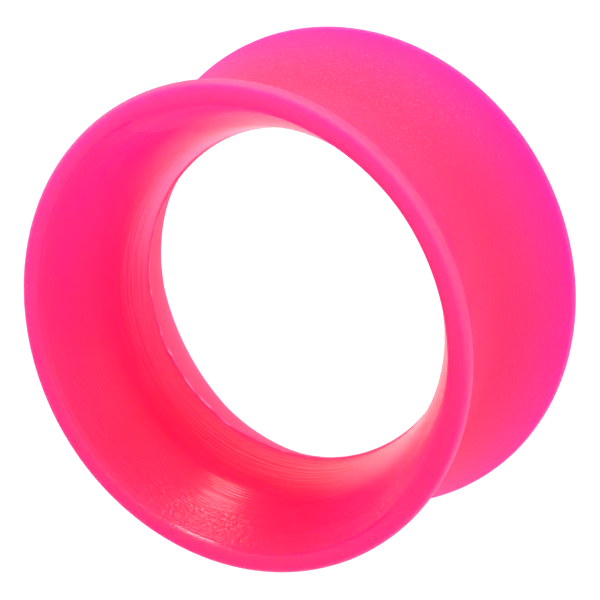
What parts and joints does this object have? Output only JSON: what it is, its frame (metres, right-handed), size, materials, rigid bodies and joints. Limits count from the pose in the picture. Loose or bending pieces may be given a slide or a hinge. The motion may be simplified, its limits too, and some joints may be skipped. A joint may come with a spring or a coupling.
{
  "type": "ear tunnel",
  "caption": "Soft double flared ear tunnel: a short open tube with a narrow waist that the stretched ear lobe closes on, flaring to a rounded rim at each end.",
  "frame": {"origin": "centre of the lower rim's face, on the axis of the bore", "axes": "+Z along the axis of the bore, up from the rim that it lies on to the rim that the picture shows in front; the part is round about Z, so X and Y may point anywhere in the rim's plane"},
  "size_m": [0.0278, 0.0278, 0.0135],
  "materials": {
    "silicone": "satin, slightly translucent, neon pink"
  },
  "bodies": {
    "root": {"tunnel": "silicone"}
  },
  "joints": []
}
